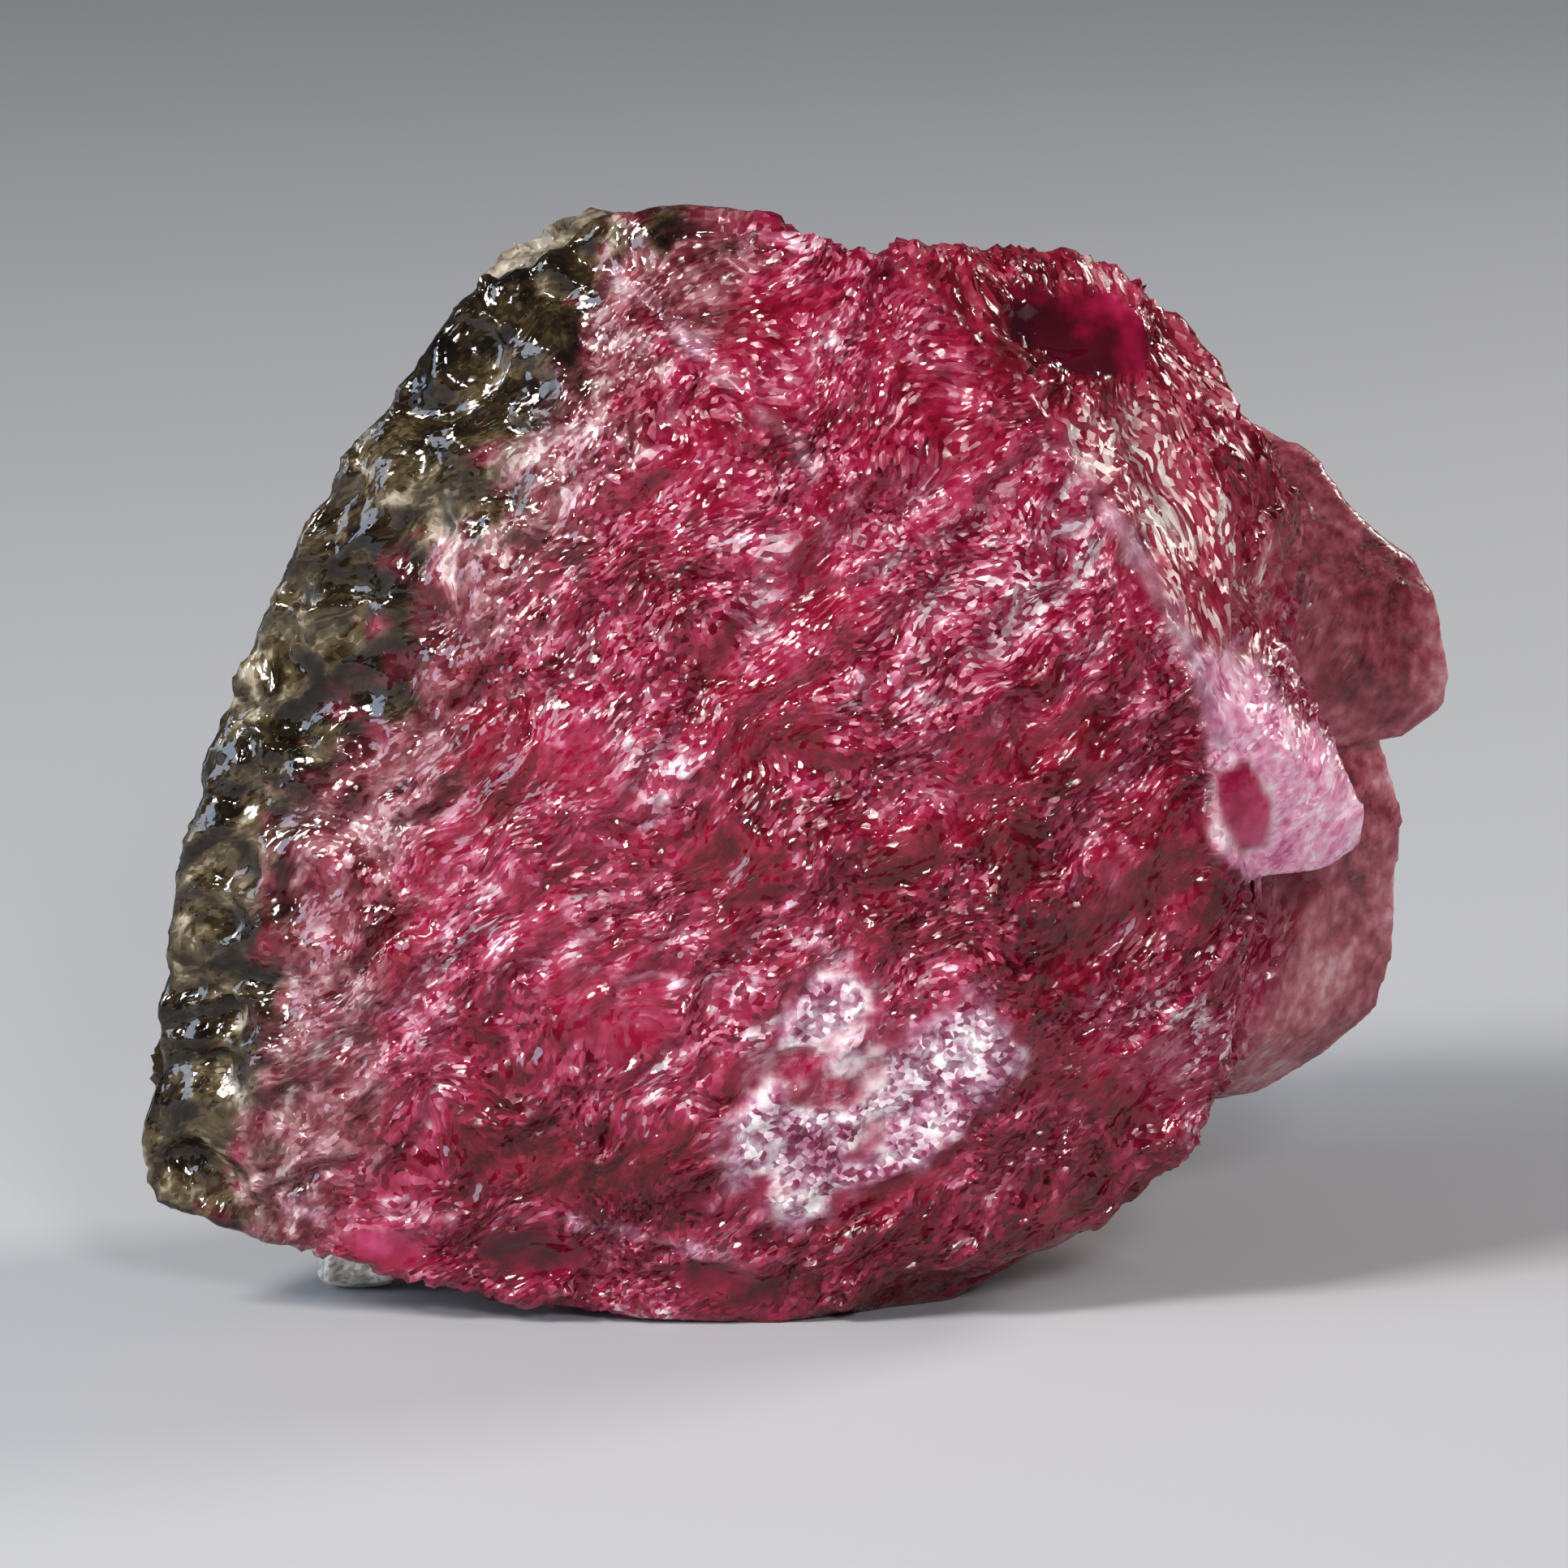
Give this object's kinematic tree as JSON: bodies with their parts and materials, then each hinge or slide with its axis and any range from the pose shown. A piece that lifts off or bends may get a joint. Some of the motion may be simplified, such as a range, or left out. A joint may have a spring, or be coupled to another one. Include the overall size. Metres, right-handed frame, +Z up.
{
  "type": "rubellite crystal",
  "caption": "Rough broken piece of pink-red tourmaline with a splintery broad face, an olive rind down one edge and a flat break to rest on.",
  "frame": {"origin": "under the middle of the stone, on the surface that it rests on", "axes": "+X to the right along the broad face, +Y from the broad face back through the stone, +Z up"},
  "size_m": [0.0264, 0.0168, 0.0221],
  "materials": {
    "rubellite": "glassy uneven fracture, partly see-through"
  },
  "bodies": {
    "root": {"crystal": "rubellite"}
  },
  "joints": []
}
